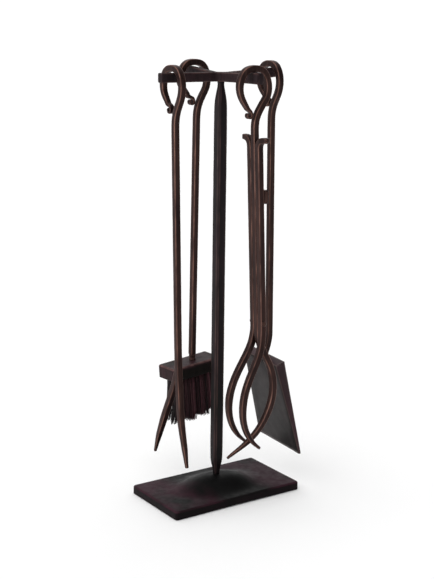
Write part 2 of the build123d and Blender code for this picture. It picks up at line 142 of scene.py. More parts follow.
# Shovel pan
PAN_SHEET = 1.6
PAN_REAR_WIDE = 92.0
PAN_LIP_WIDE = 118.0
PAN_LONG = 167.0
PAN_REAR_DEEP = 17.5
PAN_LIP_DEEP = 3.2
PAN_TILT = 17.3
PAN_ROLL = 3.4
PAN_CORNER = (80.0, -6.0, 218.3)
PAN_BEND = 4.0
# Rows of points in from the rim: the two at the middle of a fold, and the last that stays flat
PAN_FOLD = (7, 8)
PAN_STIFF = 12

# Camera
VIEW_AZIMUTH = 34.045
VIEW_ELEVATION = 12.70
VIEW_ROLL = 0.464
VIEW_DISTANCE = 1.915
VIEW_AIM = (-0.00115, 0.34244)
SENSOR = 36.0
VIEW_LENS = 99.54

# Studio
FLOOR_REACH = 40.0
FLOOR_DROP = 0.0004
SURROUND_WAY = (0.56, 0.83, 0.0)
SURROUND_LIGHT = (0.16, 1.14)
SURROUND_SEEN = 1.05
OVERHEAD_STRENGTH = 2.1
OVERHEAD_ANGLE = 70
OVERHEAD_WAY = (0.35, 0.15, -1)
LAMP_AIM = (0, 0, 0.38)
# Each lamp: its name, place, size and power
LAMPS = [
    ("key", (-2.0, 0.3, 0.7), (0.5, 1.8), 29),
    ("strip", (-1.75, -0.95, 0.6), (0.10, 1.7), 12),
    ("front", (0.5, -2.1, 0.6), (0.12, 1.7), 5),
]


# ---- curves


def vec(*values):
    return np.array(values, float)


def unit(vector):
    return vector / np.linalg.norm(vector)


def hermite(share):
    """Weights of a cubic's start, start slope, end and end slope."""
    cube, square = share**3, share**2
    return 2 * cube - 3 * square + 1, cube - 2 * square + share, -2 * cube + 3 * square, cube - square


def knot_slopes(points, start, end):
    """Slopes at the points of the smooth curve through them, with its end directions if given."""
    chords = np.linalg.norm(np.diff(points, axis=0), axis=1)
    count = len(points)
    left = np.zeros((count, count))
    right = np.zeros((count, points.shape[1]))
    for i in range(1, count - 1):
        before, after = chords[i - 1], chords[i]
        left[i, i - 1] = after
        left[i, i] = 2 * (before + after)
        left[i, i + 1] = before
        rise_before = (points[i] - points[i - 1]) / before
        rise_after = (points[i + 1] - points[i]) / after
        right[i] = 3 * (after * rise_before + before * rise_after)
    for row, near, direction in ((0, 1, start), (count - 1, count - 2, end)):
        if direction is None:
            left[row, row] = 2
            left[row, near] = 1
            low, high = min(row, near), max(row, near)
            right[row] = 3 * (points[high] - points[low]) / chords[low]
        else:
            left[row, row] = 1
            right[row] = unit(np.array(direction, float))
    return chords, np.linalg.solve(left, right)


def smooth_line(points, start=None, end=None, pitch=2.5):
    """A smooth line through the points, resampled at an even pitch."""
    points = np.array(points, float)
    chords, slopes = knot_slopes(points, start, end)
    dense = []
    for i, chord in enumerate(chords):
        for share in np.linspace(0, 1, 24, endpoint=False):
            a, b, c, d = hermite(share)
            spot = a * points[i] + b * chord * slopes[i] + c * points[i + 1] + d * chord * slopes[i + 1]
            dense.append(spot)
    dense.append(points[-1])
    return even_line(np.array(dense), pitch)


def even_line(line, pitch):
    lengths = np.concatenate([[0], np.cumsum(np.linalg.norm(np.diff(line, axis=0), axis=1))])
    count = max(3, int(round(lengths[-1] / pitch)) + 1)
    places = np.linspace(0, lengths[-1], count)
    return np.stack([np.interp(places, lengths, line[:, k]) for k in range(3)], axis=1)


def run(line, sizes):
    """A stretch of bar: its middle line, and its two sizes at shares of its length."""
    shares = np.linspace(0, 1, len(line))
    known = [share for share, _ in sizes]
    wide = np.interp(shares, known, [size[0] for _, size in sizes])
    tall = np.interp(shares, known, [size[1] for _, size in sizes])
    return line, wide, tall


def straight_run(low, high):
    return run(even_line(np.array([low, high]), 4.0), [(0.0, FULL), (1.0, FULL)])


def backwards(stretch):
    return tuple(values[::-1] for values in stretch)


def joined(stretches):
    """Stretches end to end as one, without the doubled points where they meet."""
    kept = [stretches[0]] + [tuple(values[1:] for values in stretch) for stretch in stretches[1:]]
    return tuple(np.concatenate(values) for values in zip(*kept))


def gentle(levels, at):
    """A smooth value between listed (place, value) levels that never overshoots them."""
    places = [level[0] for level in levels]
    values = [level[1] for level in levels]
    slopes = [(values[i + 1] - values[i]) / (places[i + 1] - places[i]) for i in range(len(places) - 1)]
    knots = [slopes[0]]
    for before, after in zip(slopes, slopes[1:]):
        knots.append(0.0 if before * after <= 0 else 2 * before * after / (before + after))
    knots.append(slopes[-1])
    i = max(0, min(len(places) - 2, int(np.searchsorted(places, at, side="right")) - 1))
    span = places[i + 1] - places[i]
    share = min(1.0, max(0.0, (at - places[i]) / span))
    a, b, c, d = hermite(share)
    return a * values[i] + b * span * knots[i] + c * values[i + 1] + d * span * knots[i + 1]


# ---- meshes


def rough(spot, size, seed=0.0):
    """Smooth noise from 0 to 1 whose features are 'size' millimetres across."""
    place = Vector((spot[0] / size + seed, spot[1] / size - seed, spot[2] / size))
    return min(1.0, max(0.0, 0.5 + 0.6 * noise.noise(place)))


def in_scene(name, data):
    made = bpy.data.objects.new(name, data)
    bpy.context.scene.collection.objects.link(made)
    return made


def make_piece(name, spots, faces, material, edge=None, tone=None):
    mesh = bpy.data.meshes.new(name)
    mesh.from_pydata([tuple(MM * v for v in spot) for spot in spots], [], faces)
    mesh.validate()
    for key, values in (("edge", edge), ("tone", tone)):
        if values:
            layer = mesh.attributes.new(key, "FLOAT", "POINT")
            layer.data.foreach_set("value", np.array(values, np.float32))
    mesh.shade_smooth()
    mesh.materials.append(material)
    return in_scene(name, mesh)


def grid_faces(rows, closed=False):
    """Quads between rows of equal count, all the way round where the rows are closed."""
    count = len(rows[0])
    faces = []
    for i in range(len(rows) - 1):
        near, far = i * count, (i + 1) * count
        for k in range(count if closed else count - 1):
            step = (k + 1) % count
            faces.append((near + k, near + step, far + step, far + k))
    return faces


def ring_faces(rings):
    """Quads between closed rings, and a face over each end."""
    count = len(rings[0])
    faces = grid_faces(rings, closed=True)
    last = (len(rings) - 1) * count
    faces.append(tuple(reversed(range(count))))
    faces.append(tuple(range(last, last + count)))
    return faces


def corner_signs(quarter):
    """The x and y signs of a corner, counted round from the first quarter."""
    quarter %= 4
    return (1 if quarter in (0, 3) else -1, 1 if quarter in (0, 1) else -1)


def section_pattern(arc=4, flat=4):
    """Points of a rounded section: corner signs, place on the corner's arc, and share of an edge."""
    pattern = []
    for corner in range(4):
        sign_x, sign_y = corner_signs(corner)
        for j in range(arc + 1):
            angle = math.pi / 2 * (corner + j / arc)
            share = math.sin(math.pi * j / arc)
            # A corner's middle gets the highest edge share: the colour there is rubbed wear and a painted
            # highlight
            pattern.append((sign_x, sign_y, math.cos(angle), math.sin(angle), 0.35 + 0.65 * share))
        next_x, next_y = corner_signs(corner + 1)
        angle = math.pi / 2 * (corner + 1)
        for j in range(1, flat):
            share = j / flat
            mix_x = sign_x + (next_x - sign_x) * share
            mix_y = sign_y + (next_y - sign_y) * share
            near_edge = 0.3 * abs(2 * share - 1) ** 3
            pattern.append((mix_x, mix_y, math.cos(angle), math.sin(angle), near_edge))
    return pattern


PATTERN = section_pattern()


def section_points(wide, tall, rounding):
    half_x = wide / 2 - rounding
    half_y = tall / 2 - rounding
    return [(sx * half_x + rounding * ax, sy * half_y + rounding * ay) for sx, sy, ax, ay, _ in PATTERN]


def bar_ends(line, wide, tall, start, end):
    """Adds the last rings of a bar: a small bevel for a cut end, or a rounded nose for a drawn tip."""
    rings = [[spot, w, t] for spot, w, t in zip(line, wide, tall)]
    for style, first in ((start, True), (end, False)):
        order = rings if first else rings[::-1]
        tip, nearby = order[0], order[1]
        outward = unit(tip[0] - nearby[0])
        size = min(tip[1], tip[2])
        if style == "nose":
            steps = [(0.16, 0.86), (0.27, 0.62), (0.33, 0.3)]
        else:
            tip[0] = tip[0] - outward * 1.0
            steps = [(0.55 / size, 1 - 0.35 / size), (1.0 / size, 1 - 1.6 / size)]
        extra = []
        for reach, scale in steps:
            extra.append([tip[0] + outward * reach * size, tip[1] * scale, tip[2] * scale])
        rings = extra[::-1] + rings if first else rings + extra
    return rings


def forged_bar(
    name, stretch, across, material, rounding=BAR_ROUND,
    start="cut", end="cut", dent=0.16, seed=0.0, rub=1.0,
):
    """A bar swept along its middle line, with softly uneven faces. 'across' is the way its width lies."""
    rings = bar_ends(*stretch, start, end)
    line = np.array([ring[0] for ring in rings])
    tangents = np.gradient(line, axis=0)
    across = np.array(across, float)
    layers = []
    for (centre, wide, tall), tangent in zip(rings, tangents):
        along = unit(tangent)
        side = unit(across - along * across.dot(along))
        up = np.cross(along, side)
        radius = min(rounding, 0.3 * min(wide, tall))
        ring = []
        for x, y in section_points(wide, tall, radius):
            spot = centre + side * x + up * y
            away = spot - centre
            reach = max(0.1, np.linalg.norm(away))
            depth = dent * (0.7 * rough(spot, 24, seed) + 0.3 * rough(spot, 7, seed + 5))
            ring.append(spot - away / reach * min(depth, 0.2 * reach))
        layers.append(ring)
    # The edge shares carry the rubbed wear and the painted highlight along the bar's edges
    edge = [rub * part[4] for _ in layers for part in PATTERN]
    return stacked(name, layers, material, edge)


def stacked(name, rings, material, edge=None, tone=None):
    spots = [spot for ring in rings for spot in ring]
    return make_piece(name, spots, ring_faces(rings), material, edge=edge, tone=tone)


def spun(degrees, axis):
    return Matrix.Rotation(math.radians(degrees), 4, axis)


def moved(placed, spots):
    return [tuple(placed @ Vector(spot)) for spot in spots]


def circle(radius, height, angles):
    return [vec(radius * math.cos(angle), radius * math.sin(angle), height) for angle in angles]


def turned(name, profile, placed, material, sides=40):
    """A lathe shape from (radius, height) steps, put in place by a matrix."""
    angles = [2 * math.pi * k / sides for k in range(sides)]
    rings = [moved(placed, circle(radius, height, angles)) for radius, height in profile]
    # Half the edge colour all over: some wear and some painted highlight
    edge = [0.5] * (sides * len(rings))
    return stacked(name, rings, material, edge)


def round_over(top, radius, count=5):
    """(inset, height) steps round a top edge, from just above the side to the top."""
    steps = []
    for j in range(1, count + 1):
        angle = math.pi / 2 * j / count
        steps.append((radius - radius * math.cos(angle), top - radius + radius * math.sin(angle)))
    return steps


def rounded_outline(long, short, corner, inset, per_side=26, per_corner=7):
    """Points round a rectangle with round corners, drawn in by an inset. The count never changes."""
    half_x, half_y = long / 2 - inset, short / 2 - inset
    radius = max(0.6, corner - inset)
    points = []
    for quarter in range(4):
        sign_x, sign_y = corner_signs(quarter)
        middle = vec(sign_x * (half_x - radius), sign_y * (half_y - radius))
        for j in range(per_corner):
            angle = math.pi / 2 * (quarter + j / (per_corner - 1))
            points.append(middle + radius * vec(math.cos(angle), math.sin(angle)))
        turn = math.pi / 2 * (quarter + 1)
        next_x, next_y = corner_signs(quarter + 1)
        goal = vec(next_x * (half_x - radius), next_y * (half_y - radius))
        goal = goal + radius * vec(math.cos(turn), math.sin(turn))
        begin = points[-1]
        for j in range(1, per_side):
            points.append(begin + (goal - begin) * j / per_side)
    return points


# ---- materials


def add(tree, kind, values=None, **settings):
    node = tree.nodes.new(kind)
    for key, value in settings.items():
        setattr(node, key, value)
    for key, value in (values or {}).items():
        node.inputs[key].default_value = value
    return node


def start_material(name, metallic, specular, tint=(1.0, 1.0, 1.0)):
    made = bpy.data.materials.new(name)
    made.use_nodes = True
    surface = made.node_tree.nodes["Principled BSDF"]
    surface.inputs["Metallic"].default_value = metallic
    surface.inputs["Specular IOR Level"].default_value = specular
    surface.inputs["Specular Tint"].default_value = (*tint, 1.0)
    return made, made.node_tree, surface


def grain(tree, scale, stretch=(1, 1, 1), detail=3.0):
    """Noise fixed to the object. The scale is features per metre."""
    place = add(tree, "ShaderNodeTexCoord")
    mapping = add(tree, "ShaderNodeMapping", {"Scale": stretch})
    texture = add(tree, "ShaderNodeTexNoise", {"Scale": scale, "Detail": detail, "Roughness": 0.55})
    tree.links.new(place.outputs["Object"], mapping.inputs["Vector"])
    tree.links.new(mapping.outputs["Vector"], texture.inputs["Vector"])
    return texture.outputs["Fac"]


def spread(tree, source, low, high, to_low, to_high):
    ends = {"From Min": low, "From Max": high, "To Min": to_low, "To Max": to_high}
    node = add(tree, "ShaderNodeMapRange", ends)
    tree.links.new(source, node.inputs["Value"])
    return node.outputs["Result"]


def times(tree, first, second, operation="MULTIPLY"):
    node = add(tree, "ShaderNodeMath", operation=operation)
    node.use_clamp = True
    for socket, value in zip(node.inputs, (first, second)):
        if isinstance(value, float):
            socket.default_value = value
        else:
            tree.links.new(value, socket)
    return node.outputs["Value"]


def mixed(tree, share, first, second):
    node = add(tree, "ShaderNodeMix", data_type="RGBA")
    tree.links.new(share, node.inputs["Factor"])
    for socket, value in ((node.inputs[6], first), (node.inputs[7], second)):
        if isinstance(value, tuple):
            socket.default_value = (*value, 1.0)
        else:
            tree.links.new(value, socket)
    return node.outputs[2]


def stored(tree, name):
    return add(tree, "ShaderNodeAttribute", attribute_name=name).outputs["Fac"]


def set_gloss(tree, surface, source, low, high):
    tree.links.new(spread(tree, source, 0.3, 0.7, low, high), surface.inputs["Roughness"])


def bumped(tree, surface, layers):
    """Stacks bump layers of (height, strength, millimetres)."""
    before = None
    for height, strength, depth in layers:
        node = add(tree, "ShaderNodeBump", {"Strength": strength, "Distance": depth * MM})
        tree.links.new(height, node.inputs["Height"])
        if before is not None:
            tree.links.new(before, node.inputs["Normal"])
        before = node.outputs["Normal"]
    tree.links.new(before, surface.inputs["Normal"])


def forged_finish(
    name, dark, brown, worn_and_highlight, wear_and_highlight, metallic=0.5, gloss=(0.30, 0.48), patch=(26, 0.36, 0.66),
    specular=0.12, tint=(1.0, 0.88, 0.88), streaked=0.14, placed=False,
):
    """Dark patina that is rubbed through to a warmer metal along the edges and in streaks. The warm colour
    along the edges is partly real wear and partly a painted highlight on the rounded edges.

    'patch' is the brown patches' scale and the noise levels between which they fade in. 'placed' keeps them
    to where the stored tone is high, which on the base and the block makes them a painted sheen on the top,
    and on the block's left end too.
    """
    made, tree, surface = start_material(name, metallic, specular, tint)
    patches = spread(tree, grain(tree, patch[0], (1, 1, 0.35)), patch[1], patch[2], 0.0, 1.0)
    if placed:
        patches = times(tree, patches, stored(tree, "tone"))
    streaks = spread(tree, grain(tree, 210, (1, 1, 0.07), 4.0), 0.48, 0.72, 0.0, 1.0)
    colour = mixed(tree, patches, dark, brown)
    # Edge colour: partly real rubbed wear, partly a painted highlight on the rounded edges
    ridge = times(tree, stored(tree, "edge"), 3.0, "POWER")
    along_edge = times(tree, ridge, spread(tree, grain(tree, 70, (1, 1, 0.3)), 0.36, 0.62, 0.15, 1.0))
    rubbed = times(tree, along_edge, times(tree, streaks, streaked), "ADD")
    colour = mixed(tree, times(tree, rubbed, wear_and_highlight), colour, worn_and_highlight)
    tree.links.new(colour, surface.inputs["Base Color"])
    fine = grain(tree, 640, (1, 1, 0.5), 3.0)
    set_gloss(tree, surface, grain(tree, 90), *gloss)
    bumped(tree, surface, [(grain(tree, 85, (1, 1, 0.6), 2.0), 0.35, 0.7), (fine, 0.28, 0.2)])
    return made


def bristle_finish():
    made, tree, surface = start_material("bristle", 0.0, 0.2)
    colour = mixed(tree, stored(tree, "tone"), (0.002, 0.002, 0.002), (0.11, 0.040, 0.050))
    tree.links.new(colour, surface.inputs["Base Color"])
    streak = grain(tree, 900, (1, 1, 0.1))
    set_gloss(tree, surface, streak, 0.42, 0.62)
    bumped(tree, surface, [(streak, 0.3, 0.1)])
    return made


def pan_finish():
    """Smooth dark sheet: a faint sheen, small scuffs, walls painted browner as a reflection, and a painted
    highlight along the folds and the rim.
    """
    made, tree, surface = start_material("pan_paint", 0.2, 0.2, (1.0, 0.9, 0.9))
    cloud = spread(tree, grain(tree, 14), 0.35, 0.65, 0.0, 1.0)
    colour = mixed(tree, cloud, (0.007, 0.007, 0.007), (0.014, 0.012, 0.012))
    # Painted reflection: the walls are coloured browner and more purple than the floor
    wall = mixed(tree, cloud, (0.018, 0.008, 0.010), (0.036, 0.014, 0.019))
    colour = mixed(tree, stored(tree, "tone"), colour, wall)
    scuffs = spread(tree, grain(tree, 300, (0.3, 1, 1), 6.0), 0.62, 0.75, 0.0, 0.5)
    # Real scuffs, plus a painted highlight along the rim and the folds
    bright = times(tree, scuffs, times(tree, stored(tree, "edge"), 0.8), "ADD")
    colour = mixed(tree, bright, colour, (0.065, 0.044, 0.042))
    tree.links.new(colour, surface.inputs["Base Color"])
    set_gloss(tree, surface, grain(tree, 60), 0.34, 0.46)
    bumped(tree, surface, [(grain(tree, 18), 0.25, 1.2), (grain(tree, 700), 0.16, 0.12)])
    return made


def steel_finish():
    made, tree, surface = start_material("fastener_steel", 1.0, 0.5)
    tint = spread(tree, grain(tree, 160), 0.3, 0.7, 0.0, 1.0)
    tree.links.new(mixed(tree, tint, (0.36, 0.36, 0.37), (0.52, 0.52, 0.53)), surface.inputs["Base Color"])
    lines = grain(tree, 900, (1, 1, 0.15))
    set_gloss(tree, surface, lines, 0.28, 0.45)
    bumped(tree, surface, [(lines, 0.15, 0.05)])
    return made


def floor_finish():
    made, tree, surface = start_material("studio_floor", 0.0, 0.2)
    surface.inputs["Base Color"].default_value = (0.97, 0.97, 0.97, 1.0)
    set_gloss(tree, surface, grain(tree, 3), 0.8, 0.9)
    return made


BRONZE = forged_finish(
    "bronze_finish", dark=(0.013, 0.007, 0.007), brown=(0.028, 0.014, 0.012), worn_and_highlight=(0.25, 0.13, 0.10),
    wear_and_highlight=0.7,
)
HANGER = forged_finish(
    "hanger_paint", dark=(0.008, 0.006, 0.007), brown=(0.020, 0.010, 0.012), worn_and_highlight=(0.12, 0.062, 0.054),
    wear_and_highlight=0.6, metallic=0.15, gloss=(0.5, 0.7),
)
POST = forged_finish(
    "post_paint", dark=(0.004, 0.004, 0.004), brown=(0.011, 0.006, 0.008), worn_and_highlight=(0.12, 0.068, 0.06),
    wear_and_highlight=0.7, metallic=0.1, specular=0.09, tint=(1.0, 0.98, 0.98), streaked=0.03,
)
# The base's placed brown patches are a painted reflection on its top
BASE = forged_finish(
    "base_paint", dark=(0.003, 0.003, 0.003), brown=(0.024, 0.008, 0.013), worn_and_highlight=(0.035, 0.022, 0.024),
    wear_and_highlight=0.25, metallic=0.0, gloss=(0.38, 0.55), patch=(15, 0.34, 0.54),
    specular=0.05, tint=(1.0, 0.97, 0.97), streaked=0.04, placed=True,
)
BLOCK = forged_finish(
    "block_paint", dark=(0.004, 0.004, 0.003), brown=(0.022, 0.010, 0.012), worn_and_highlight=(0.12, 0.065, 0.06),
    wear_and_highlight=0.7, metallic=0.05, gloss=(0.38, 0.55), patch=(24, 0.34, 0.54),
    specular=0.07, tint=(1.0, 0.97, 0.97), streaked=0.06, placed=True,
)
BRISTLE = bristle_finish()
PAN = pan_finish()
STEEL = steel_finish()


def settle(piece, body, slot, *nodes):
    """The piece rides on a body and stands for these CAD nodes, which are hidden. The slot is not used."""
    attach(piece, body)
    if nodes:
        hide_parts(*nodes)


# ---- stand


def dome_height(x, y):
    radius = min(DOME_REACH, max(POST_FLAT, math.hypot(x / DOME_STRETCH, y)))
    share = (radius - POST_FLAT) / (DOME_REACH - POST_FLAT)
    return BASE_THICK + DOME_RISE * math.cos(share * math.pi / 2) ** 2


def base_rings():
    """Rings from the bolt hole's roof, out over the underside, up the sides and in over the swelling."""
    angles = [math.atan2(p[1], p[0]) for p in rounded_outline(60, 60, 20, 0)]
    count = len(angles)
    under = [(HOLE_RADIUS, HOLE_TOP), (HOLE_RADIUS, RECESS_DEPTH), (RECESS_RADIUS, RECESS_DEPTH)]
    under += [(RECESS_RADIUS, 0.4), (RECESS_RADIUS + 0.4, 0.0)]
    rings = [circle(radius, z, angles) for radius, z in under]
    edge = [0.0] * (count * len(rings))
    side = [(1.2, 0.0), (0.35, 0.35), (0.0, 1.2), (0.0, 4.0), (0.0, 7.0), (0.0, BASE_THICK - BASE_EDGE)]
    for inset, z in side + round_over(BASE_THICK, BASE_EDGE):
        ring = []
        for point in rounded_outline(BASE_LONG, BASE_SHORT, BASE_CORNER, inset):
            wave = 0.5 * rough((point[0], point[1], 0), 60, 3.0) * min(1.0, z / 6)
            arch = 1.5 * math.cos(math.pi * point[0] / BASE_LONG) ** 2 * max(0.0, 1 - z / BASE_THICK)
            away = unit(point)
            ring.append(vec(*(point - away * wave), z + arch - 0.5 * wave * min(1.0, z / 14)))
        rings.append(ring)
        # The rounded top edge gets the edge colour: rubbed wear with a painted highlight
        edge += [0.9 if 0.3 < inset < 2.9 and z > 8 else 0.12] * count
    outer = rings[-1]
    steps = 30
    for j in range(1, steps + 1):
        share = (j / steps) ** 0.9
        ring = []
        for start, angle in zip(outer, angles):
            spot = start[:2] * (1 - share) + 4.0 * share * vec(math.cos(angle), math.sin(angle))
            fade = 1 - min(1.0, share * 3)
            lift = dome_height(*spot) - BASE_THICK
            ring.append(vec(*spot, BASE_THICK + lift + (start[2] - BASE_THICK) * fade))
        rings.append(ring)
        edge += [0.35 * max(0.0, 1 - share * 12)] * count
    return rings, edge


def base_body():
    rings, edge = base_rings()
    tone = []
    for spot in [spot for ring in rings for spot in ring]:
        # The tone places the painted reflection: strong on the top away from the swelling, faint everywhere
        # else
        outward = (abs(spot[0] + SHEEN_SLANT * spot[1]) - SHEEN_START) / SHEEN_REACH
        on_top = spot[2] > BASE_THICK - 2.5
        tone.append(min(1.0, max(0.0, outward)) if on_top else SHEEN_LEAST)
    piece = stacked("base_body", rings, BASE, edge, tone)
    settle(piece, "stand", "base_paint", "base_plate")


# The post's width, and the width of its cut corners, at heights
POST_LOW = POST_FOOT - 0.4
POST_SIDES = [
    (POST_LOW, 8.6), (41, 11.0), (50, 14.2), (56, 16.1), (64, 16.9),
    (110, 17.4), (570, 17.4), (612, 17.3), (630, 17.2), (640, 16.4),
    (649, 14.4), (657, 11.6), (662, 9.7), (666, 8.9), (POST_TOP, 9.8),
]
POST_CUTS = [
    (POST_LOW, 1.2), (50, 2.3), (64, 3.0), (110, 3.0), (612, 3.0),
    (640, 3.4), (649, 3.4), (657, 2.8), (666, 1.8), (POST_TOP, 1.8),
]
POST_SHOULDER = 64


def chamfered_ring(side, cut, soften=0.7, flat=4):
    """A square with cut corners, softened where the cuts end, and each point's share of an edge."""
    half = side / 2
    inner = half - cut
    corners = [(half, inner), (inner, half), (-inner, half), (-half, inner)]
    corners += [(-half, -inner), (-inner, -half), (inner, -half), (half, -inner)]
    ring = []
    for i, corner in enumerate(corners):
        here, before, after = vec(*corner), vec(*corners[i - 1]), vec(*corners[(i + 1) % 8])
        back, on = unit(before - here) * soften, unit(after - here) * soften
        # Edge shares: painted highlight lines where the cut corners end, fainter over the cut faces
        ring += [(here + back, 0.6), (here + (back + on) * 0.22, 1.0), (here + on, 0.6)]
        on_cut = i % 2 == 0
        span = (after - unit(after - here) * soften) - (here + on)
        for j in range(1, flat):
            ring.append((here + on + span * j / flat, 0.5 if on_cut else 0.0))
    return ring


def post_body():
    heights = [*np.arange(POST_LOW, POST_SHOULDER, 2.2), *np.arange(POST_SHOULDER, 600, 6.0)]
    heights += [*np.arange(600, POST_TOP, 2.0), POST_TOP]
    rings, edge = [], []
    for z in heights:
        side = gentle(POST_SIDES, z)
        cut = min(gentle(POST_CUTS, z), 0.34 * side)
        shift = POST_LEAN * max(0.0, z - POST_SHOULDER) / (POST_TOP - POST_SHOULDER)
        ring = []
        for point, share in chamfered_ring(side, cut, soften=min(0.7, 0.3 * cut)):
            spot = vec(point[0] + shift, point[1], z)
            away = vec(point[0], point[1], 0)
            depth = 0.36 * (rough(spot, 34, 9.0) - 0.45) + 0.14 * (rough(spot, 9, 2.0) - 0.4)
            fade = 1.0 if z < POST_TOP - 2 else 0.0
            ring.append(spot - unit(away) * depth * fade)
            edge.append(share)
        rings.append(ring)
    piece = stacked("post_body", rings, POST, edge)
    settle(piece, "stand", "post_paint", "post")


def arm_share(reach, arm):
    far = arm[0]
    return max(0.0, (min(reach, far) - ARM_BEND) / (far - ARM_BEND))


def arm_rise(reach, arm):
    return POST_TOP + ARM_TALL / 2 + arm[1] * arm_share(reach, arm)


def arm_tall(reach, arm):
    return ARM_TALL + (arm[2] - ARM_TALL) * arm_share(reach, arm) ** 2


def arm_steps(arm):
    """Distances out along an arm, from just past the bend to the tip."""
    count = int((arm[0] - ARM_BEND) / 2.6)
    return [ARM_BEND + (arm[0] - ARM_BEND) * (i + 1) / count for i in range(count)]


def hanger_body(name, node, turn, arm_x, arm_y, seed):
    """A bent bar: one arm along -X, a bend round the middle, and one arm along -Y, then turned about Z."""
    plan = [(-reach, 0.0, arm_x) for reach in arm_steps(arm_x)[::-1]]
    for i in range(13):
        angle = math.radians(90 * i / 12)
        plan.append((-ARM_BEND + ARM_BEND * math.sin(angle), -ARM_BEND + ARM_BEND * math.cos(angle), arm_x))
    plan += [(0.0, -reach, arm_y) for reach in arm_steps(arm_y)]
    line, tall = [], []
    for x, y, arm in plan:
        reach = math.hypot(x, y)
        line.append(vec(x * turn, y * turn, arm_rise(reach, arm)))
        tall.append(arm_tall(reach, arm))
    stretch = (np.array(line), np.array(tall), np.full(len(line), ARM_THICK))
    piece = forged_bar(name, stretch, (0, 0, 1), HANGER, ARM_ROUND, dent=0.5, seed=seed)
    settle(piece, "stand", "hanger_paint", node)


# ---- tools


def hung(point, lean, side):
    """Placer for a tool's own flat frame: u to the shaft's side, w up, leaning about the hang point."""
    tilt = math.radians(lean)
    point, side = vec(*point), vec(*side)

    def to_place(u, w):
        out = u * math.cos(tilt) - w * math.sin(tilt)
        up = w * math.cos(tilt) + u * math.sin(tilt)
        return point + side * out + vec(0, 0, up)

    return to_place


def hang_height(tool):
    reach, arm, lean = tool["out"], tool["arm"], math.radians(abs(tool["lean"]))
    corner = abs(tool["side"]) + ARM_THICK / 2 - 0.5 * ARM_ROUND
    top = arm_rise(reach, arm) + arm_tall(reach, arm) / 2
    return top + corner**2 / (2 * LOOP_INNER_RADIUS) + corner * math.sin(lean) + HANG_GAP


def turned_x(degrees):
    angle = math.radians(degrees)
    return (math.cos(angle), math.sin(angle), 0)


POKER_AT = hung((-POKER["out"], -POKER["side"], hang_height(POKER)), POKER["lean"], (0, -1, 0))
BRUSH_AT = hung((BRUSH["side"], BRUSH["out"], hang_height(BRUSH)), BRUSH["lean"], turned_x(BRUSH_TURN))
TONGS_AT = hung((0, -TONGS["out"], hang_height(TONGS)), TONGS["lean"], (1, 0, 0))
SHOVEL_AT = hung((SHOVEL["out"], -SHOVEL["side"], hang_height(SHOVEL)), SHOVEL["lean"], (0, -1, 0))


def at_height(to_place, u, height):
    """The point of a tool's own shaft line at a height."""
    top = to_place(u, 0)
    drop = top - to_place(u, -1)
    return to_place(u, -(top[2] - height) / drop[2])


def tail_drop(w, tail):
    """Height on the loop's free side, drawn up by 'tail' millimetres at its scroll."""
    return -9.5 + (w + 9.5) * (1 - tail / 52)


def loop_outline(tool):
    wide, tail, tuck = tool["loop"]
    step = tool["step"]
    return [
        (step, -LOOP_NECK), (step * 0.9 + 2.0, -70), (step * 0.6 + 8.4, -57), (step * 0.3 + 17.6, -44.5),
        (wide - 2.2, -35), (wide, -22), (wide - 2.6, -9.5), (wide - 10.5, 1.2), (0, LOOP_RISE),
        (-wide + 10.5, 1.2), (-wide + 2.6, -9.5), (-wide, tail_drop(-21, tail)),
        (-wide + 1.9 + 0.15 * tuck, tail_drop(-33, tail)), (-19.6 + 0.45 * tuck, tail_drop(-42, tail)),
        (-14.2 + 0.75 * tuck, tail_drop(-50.5, tail)),
    ]


def scroll_line(tool):
    _, tail, tuck = tool["loop"]
    eye_u = -10.2 + 0.4 * tool["step"] + tuck
    eye_w = tail_drop(-61.6, tail)
    points = [loop_outline(tool)[-1], (eye_u + 1.5, eye_w + 5.6)]
    for degrees in (8, -30, -70, -110, -150, -190, -222):
        angle = math.radians(degrees)
        points.append((eye_u + SCROLL_CURL * math.cos(angle), eye_w + SCROLL_CURL * math.sin(angle)))
    return points


def loop_runs(to_place, tool):
    """The handle's loop and the small scroll that its drawn-out end makes."""
    rise = to_place(0, 1) - to_place(0, 0)
    leave = to_place(0.5, -0.86) - to_place(0, 0)
    away = to_place(-0.66, 0.75) - to_place(0, 0)
    body = smooth_line([to_place(u, w) for u, w in loop_outline(tool)], rise, leave, 1.8)
    neck = smooth_line([to_place(u, w) for u, w in scroll_line(tool)], leave, away, 0.8)
    sizes = [(0.0, FULL), (0.80, FULL), (0.92, (9.4, 8.4)), (1.0, (8.8, 7.0))]
    thin = [(0.0, (8.8, 7.0)), (0.22, (8.6, 5.2)), (0.5, (8.4, 3.8)), (1.0, (8.0, 2.8))]
    return [run(body, sizes), run(neck, thin)]


def shaft_run(to_place, step, low):
    """The straight shaft from its foot, a point, up to the loop."""
    return straight_run(low, to_place(step, -LOOP_NECK))


def trail_run(start, trail, sizes, leave, arrive, pitch=2.5):
    line = smooth_line([start + vec(*step) for step in trail], leave, arrive, pitch)
    return run(line, sizes)


def down(to_place):
    return to_place(0, -1) - to_place(0, 0)


def bronze_bar(name, stretch, across, body, node, **options):
    settle(forged_bar(name, stretch, across, BRONZE, **options), body, "bronze_finish", node)


